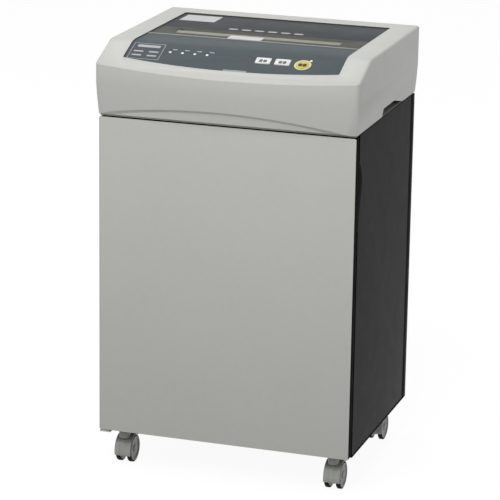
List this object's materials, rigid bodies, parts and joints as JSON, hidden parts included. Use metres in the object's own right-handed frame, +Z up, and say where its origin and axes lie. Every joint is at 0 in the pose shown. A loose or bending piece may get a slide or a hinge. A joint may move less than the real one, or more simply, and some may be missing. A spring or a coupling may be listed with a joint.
{
  "type": "office paper shredder",
  "caption": "Free-standing office paper shredder: sloped control panel and feed slot on a lift-off head, hinged door, waste bin, twin-wheel casters.",
  "frame": {"origin": "on the floor, in the middle of the shredder's bounding box", "axes": "+Z up, -Y out of the door and the control slope, +X to the right of someone who faces the door"},
  "size_m": [0.48, 0.409, 0.779],
  "materials": {
    "laminate_grey": "light grey melamine, fine satin",
    "laminate_charcoal": "charcoal melamine board, fine texture",
    "board_black": "black back board",
    "head_plastic": "light grey moulded ABS, fine spark texture",
    "fascia_blue": "blue grey control foil, satin",
    "panel_grey": "dark grey moulded ABS",
    "lip_grey": "warm grey feed lip",
    "lamp_white": "clear white lamp caps",
    "bezel_cream": "pale bezel ring",
    "button_yellow": "yellow push button",
    "button_white": "white push buttons",
    "black_plastic": "black moulded plastic",
    "bin_plastic": "dark moulded polypropylene",
    "circuit_board": "green printed circuit board",
    "steel": "bright machined steel",
    "dark_steel": "oiled hardened steel",
    "zinc_plate": "zinc plated sheet steel",
    "bronze": "sintered bronze",
    "gear_nylon": "natural nylon",
    "motor_paint": "dark motor paint",
    "core_varnish": "varnished laminations",
    "aluminium_can": "drawn aluminium can",
    "caster_grey": "grey nylon caster hood",
    "wheel_black": "dark tread with grey hub"
  },
  "bodies": {
    "cabinet": {"base_board": "laminate_charcoal", "side_panel_left": "laminate_charcoal", "side_panel_right": "laminate_charcoal", "back_panel": "board_black", "front_rail": "laminate_charcoal", "cabinet_screws": "steel", "chassis_plate": "zinc_plate", "debris_chute": "black_plastic", "bin_guides": "black_plastic", "lower_pivot_bracket": "steel", "upper_pivot_pin": "steel", "magnet_catch": "black_plastic", "door_switch": "black_plastic", "cord_gland": "black_plastic", "head_cover": "head_plastic", "head_screws": "steel", "control_fascia": "fascia_blue", "feed_throat": "panel_grey", "feed_lip": "lip_grey", "rear_cover": "panel_grey", "indicator_lenses": "lamp_white", "start_bezel": "bezel_cream", "control_board": "circuit_board", "paper_sensor": "black_plastic", "side_frame_left": "zinc_plate", "side_frame_right": "zinc_plate", "tie_rods": "steel", "shaft_bushes": "bronze", "stripper_comb_front": "zinc_plate", "stripper_comb_rear": "zinc_plate", "idler_axle": "steel", "gear_plate": "zinc_plate", "motor_housing": "motor_paint", "motor_stator": "core_varnish", "motor_saddle": "zinc_plate", "capacitor": "aluminium_can", "capacitor_clamp": "zinc_plate", "power_board": "circuit_board", "caster_sockets": "zinc_plate"},
    "door": {"door_panel": "laminate_grey", "door_fittings": "steel"},
    "bin": {"waste_bin": "bin_plastic"},
    "start_key": {"start_button": "button_yellow"},
    "stop_key": {"stop_button": "button_white"},
    "reverse_key": {"reverse_button": "button_white"},
    "front_cutter": {"cutter_front": "dark_steel", "sync_gear_front": "dark_steel"},
    "rear_cutter": {"cutter_rear": "dark_steel", "sync_gear_rear": "dark_steel", "drive_gear": "dark_steel"},
    "intermediate": {"intermediate_gear": "gear_nylon"},
    "rotor": {"motor_rotor": "steel"},
    "caster_fl": {"caster_fl_hood": "caster_grey"},
    "wheels_fl": {"caster_fl_wheels": "wheel_black"},
    "caster_fr": {"caster_fr_hood": "caster_grey"},
    "wheels_fr": {"caster_fr_wheels": "wheel_black"},
    "caster_rl": {"caster_rl_hood": "caster_grey"},
    "wheels_rl": {"caster_rl_wheels": "wheel_black"},
    "caster_rr": {"caster_rr_hood": "caster_grey"},
    "wheels_rr": {"caster_rr_wheels": "wheel_black"}
  },
  "joints": [
    {"name": "door_hinge", "type": "hinge", "parent": "cabinet", "child": "door", "pos_m": [-0.227, -0.1685, 0.07], "axis": [0, 0, -1], "range_deg": [0, 150]},
    {"name": "bin_slide", "type": "slide", "parent": "cabinet", "child": "bin", "axis": [0, -1, 0], "range_m": [0, 0.1838]},
    {"name": "start_press", "type": "slide", "parent": "cabinet", "child": "start_key", "axis": [0, 0.3875, -0.9219], "range_m": [0, 0.0012], "stiffness_N_per_m": 800},
    {"name": "stop_press", "type": "slide", "parent": "cabinet", "child": "stop_key", "axis": [0, 0.3875, -0.9219], "range_m": [0, 0.0012], "stiffness_N_per_m": 800},
    {"name": "reverse_press", "type": "slide", "parent": "cabinet", "child": "reverse_key", "axis": [0, 0.3875, -0.9219], "range_m": [0, 0.0012], "stiffness_N_per_m": 800},
    {"name": "rear_cutter_spin", "type": "hinge", "parent": "cabinet", "child": "rear_cutter", "pos_m": [0, 0.0375, 0.711], "axis": [1, 0, 0], "continuous": true},
    {"name": "front_cutter_spin", "type": "hinge", "parent": "cabinet", "child": "front_cutter", "pos_m": [0, -0.0185, 0.711], "axis": [1, 0, 0], "continuous": true},
    {"name": "intermediate_spin", "type": "hinge", "parent": "cabinet", "child": "intermediate", "pos_m": [0.197, 0.09753, 0.72652], "axis": [1, 0, 0], "continuous": true},
    {"name": "rotor_spin", "type": "hinge", "parent": "cabinet", "child": "rotor", "pos_m": [0.06, 0.1378, 0.70327], "axis": [1, 0, 0], "continuous": true},
    {"name": "caster_fl_swivel", "type": "hinge", "parent": "cabinet", "child": "caster_fl", "pos_m": [-0.198, -0.1425, 0.07], "axis": [0, 0, 1], "continuous": true},
    {"name": "wheels_fl_roll", "type": "hinge", "parent": "caster_fl", "child": "wheels_fl", "pos_m": [-0.198, -0.1285, 0.025], "axis": [1, 0, 0], "continuous": true},
    {"name": "caster_fr_swivel", "type": "hinge", "parent": "cabinet", "child": "caster_fr", "pos_m": [0.198, -0.1425, 0.07], "axis": [0, 0, 1], "continuous": true},
    {"name": "wheels_fr_roll", "type": "hinge", "parent": "caster_fr", "child": "wheels_fr", "pos_m": [0.198, -0.1285, 0.025], "axis": [1, 0, 0], "continuous": true},
    {"name": "caster_rl_swivel", "type": "hinge", "parent": "cabinet", "child": "caster_rl", "pos_m": [-0.198, 0.1335, 0.07], "axis": [0, 0, 1], "continuous": true},
    {"name": "wheels_rl_roll", "type": "hinge", "parent": "caster_rl", "child": "wheels_rl", "pos_m": [-0.198, 0.1475, 0.025], "axis": [1, 0, 0], "continuous": true},
    {"name": "caster_rr_swivel", "type": "hinge", "parent": "cabinet", "child": "caster_rr", "pos_m": [0.198, 0.1335, 0.07], "axis": [0, 0, 1], "continuous": true},
    {"name": "wheels_rr_roll", "type": "hinge", "parent": "caster_rr", "child": "wheels_rr", "pos_m": [0.198, 0.1475, 0.025], "axis": [1, 0, 0], "continuous": true}
  ],
  "couplings": [
    {"joint": "bin_slide", "follows": "door_hinge", "m_per_rad": 0.07},
    {"joint": "front_cutter_spin", "follows": "rear_cutter_spin", "ratio": -1},
    {"joint": "intermediate_spin", "follows": "rear_cutter_spin", "ratio": -3.4286},
    {"joint": "rotor_spin", "follows": "rear_cutter_spin", "ratio": 14.286}
  ]
}
